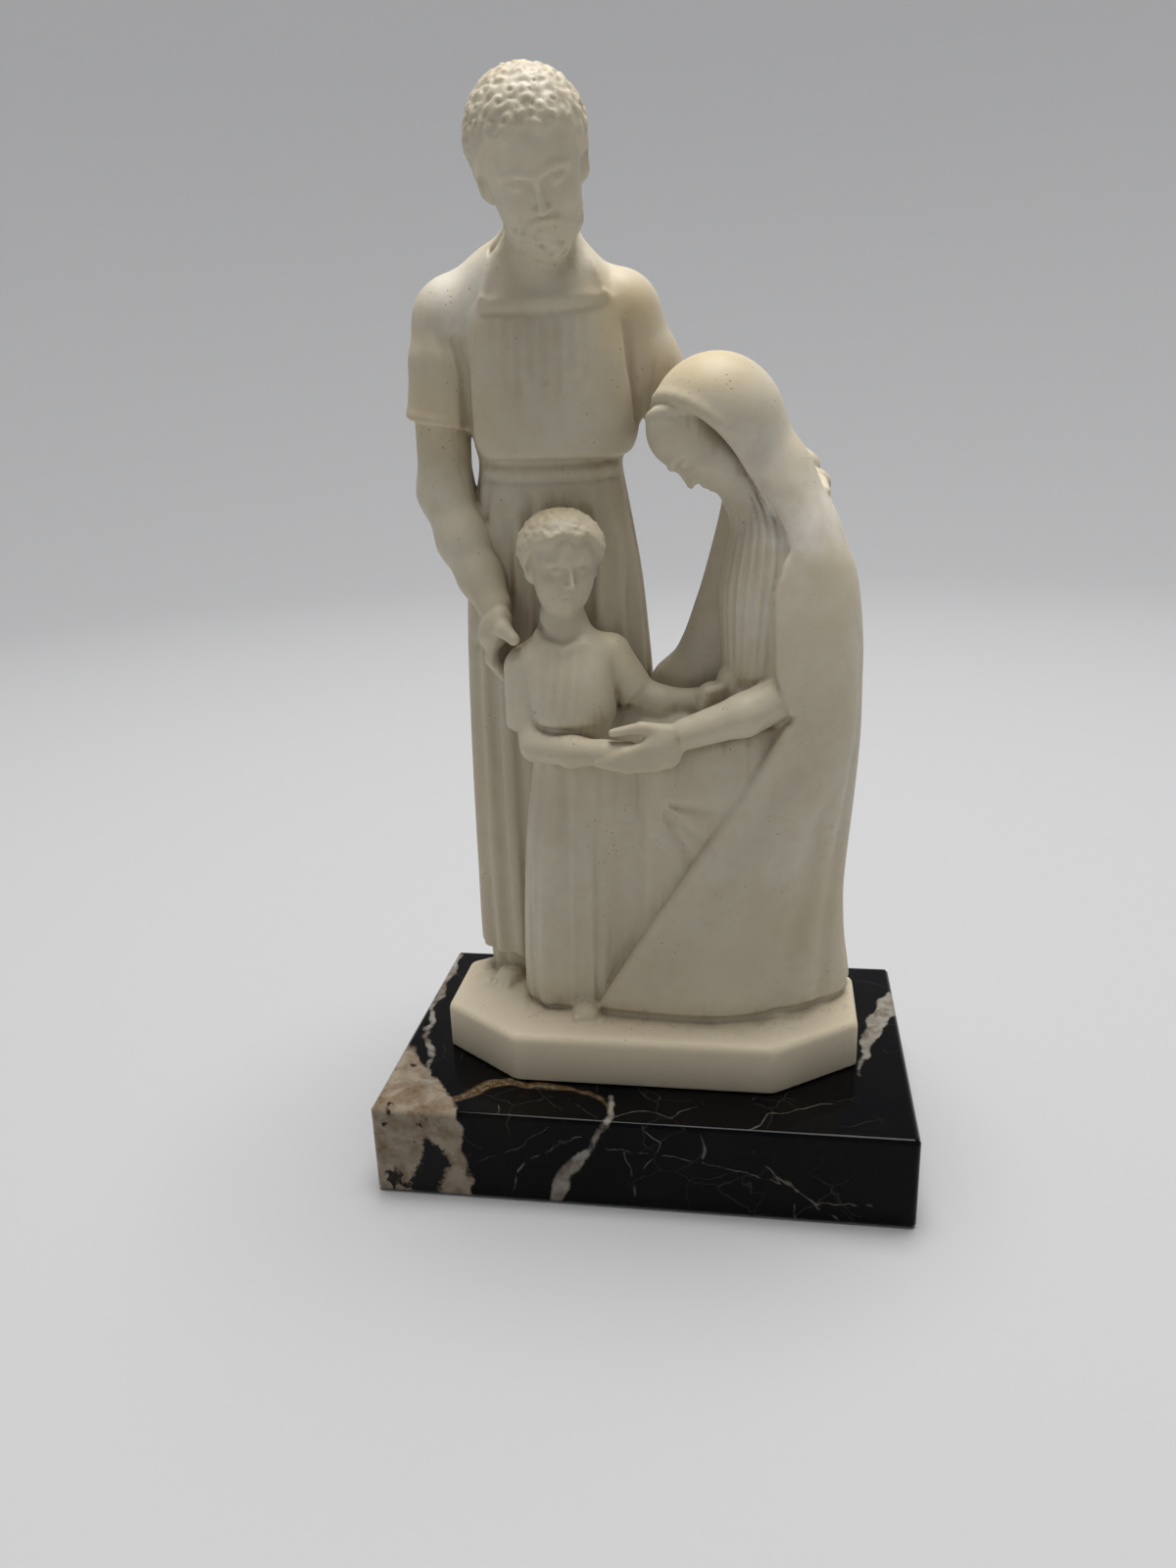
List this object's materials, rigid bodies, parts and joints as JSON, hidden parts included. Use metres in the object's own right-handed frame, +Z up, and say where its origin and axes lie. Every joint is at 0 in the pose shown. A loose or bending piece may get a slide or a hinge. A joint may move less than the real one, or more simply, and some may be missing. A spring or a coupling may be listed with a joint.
{
  "type": "figure group statue",
  "caption": "Cream cast-resin figure group on an octagonal foot, standing on a black veined marble plinth; a small shelf or table ornament.",
  "frame": {"origin": "centre of the plinth's underside", "axes": "+Z up through the standing man's head, -Y towards the viewer, so the child's feet point to -Y, +X to the side of the seated woman"},
  "size_m": [0.12, 0.078, 0.2328],
  "materials": {
    "alabaster_resin": "cream alabaster resin, satin, slightly translucent",
    "black_marble": "polished black marble with white and brown veins"
  },
  "bodies": {
    "root": {"holy_family_group": "alabaster_resin", "marble_plinth": "black_marble"}
  },
  "joints": []
}
